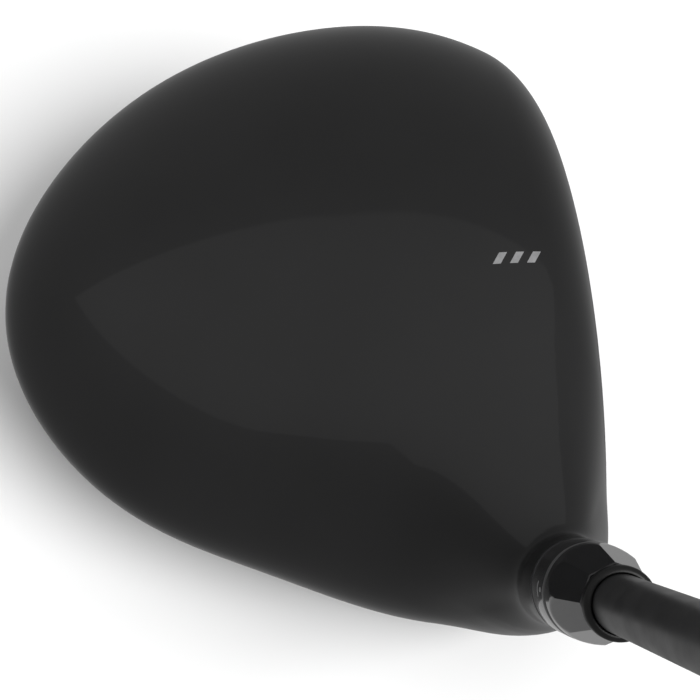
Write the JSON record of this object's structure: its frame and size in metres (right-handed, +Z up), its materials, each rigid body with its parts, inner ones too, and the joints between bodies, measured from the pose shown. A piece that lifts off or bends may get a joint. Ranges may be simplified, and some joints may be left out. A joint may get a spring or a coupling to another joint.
{
  "type": "golf driver",
  "caption": "Left-handed golf driver: hollow head with bonded crown and struck face, adjustable hosel sleeve, screw-in sole weights, graphite shaft and rubber grip.",
  "frame": {"origin": "centre of the sole's flat pad, where the club rests on the ground at address", "axes": "+Z up, +X from heel to toe, +Y from the face to the rear of the head; the shaft leans towards -X as it rises"},
  "size_m": [0.7167, 0.1137, 0.9922],
  "materials": {
    "crown_paint": "high gloss black",
    "casting_paint": "gloss black",
    "face_metal": "dark brushed",
    "badge_metal": "satin",
    "hosel_metal": "gloss black",
    "ring_black": "black anodised gloss",
    "sleeve_black": "black anodised gloss",
    "collar_black": "matte black",
    "shaft_graphite": "satin painted graphite",
    "plug_plastic": "plain",
    "screw_steel": "machined",
    "weight_metal": "machined",
    "port_metal": "machined",
    "tape_paper": "plain",
    "grip_rubber": "moulded texture",
    "cap_rubber": "smooth"
  },
  "bodies": {
    "shaft_assembly": {"shaft": "shaft_graphite", "tip_plug": "plug_plastic", "adapter_sleeve": "sleeve_black", "shaft_collar": "collar_black", "grip_tape": "tape_paper", "grip": "grip_rubber", "grip_cap": "cap_rubber"},
    "index_ring": {"adapter_ring": "ring_black"},
    "club_head": {"body_casting": "casting_paint", "crown_shell": "crown_paint", "face_plate": "face_metal", "sole_badge": "badge_metal", "hosel_tube": "hosel_metal", "front_weight_port": "port_metal", "rear_weight_port": "port_metal", "screw_washer": "screw_steel", "screw_retainer": "plug_plastic"},
    "clamp_screw": {"hosel_screw": "screw_steel"},
    "front_puck": {"front_weight": "weight_metal"},
    "front_screw": {"front_weight_screw": "screw_steel"},
    "rear_puck": {"rear_weight": "weight_metal"},
    "rear_screw": {"rear_weight_screw": "screw_steel"}
  },
  "joints": [
    {"name": "sleeve_index", "type": "hinge", "parent": "shaft_assembly", "child": "index_ring", "pos_m": [-0.07677, -0.0068, 0.05844], "axis": [-0.5113, 0, 0.8594], "continuous": true},
    {"name": "head_release", "type": "slide", "parent": "index_ring", "child": "club_head", "axis": [0.5113, 0, -0.8594], "range_m": [0, 0.04]},
    {"name": "hosel_screw_turn", "type": "hinge", "parent": "club_head", "child": "clamp_screw", "pos_m": [-0.04967, -0.0068, 0.01289], "axis": [-0.5113, 0, 0.8594], "continuous": true},
    {"name": "front_weight_lift", "type": "slide", "parent": "club_head", "child": "front_puck", "axis": [0, 0, -1], "range_m": [0, 0.0072]},
    {"name": "front_weight_screw_turn", "type": "hinge", "parent": "front_puck", "child": "front_screw", "pos_m": [0, -0.014, 0], "axis": [0, 0, -1], "range_deg": [0, 3246]},
    {"name": "rear_weight_lift", "type": "slide", "parent": "club_head", "child": "rear_puck", "axis": [-0.0079, 0.2816, -0.9595], "range_m": [0, 0.0072]},
    {"name": "rear_weight_screw_turn", "type": "hinge", "parent": "rear_puck", "child": "rear_screw", "pos_m": [0, 0.062, 0.00637], "axis": [-0.0079, 0.2816, -0.9595], "range_deg": [0, 3246]}
  ],
  "couplings": [
    {"joint": "front_weight_screw_turn", "follows": "front_weight_lift", "rad_per_m": 7854},
    {"joint": "rear_weight_screw_turn", "follows": "rear_weight_lift", "rad_per_m": 7854}
  ]
}
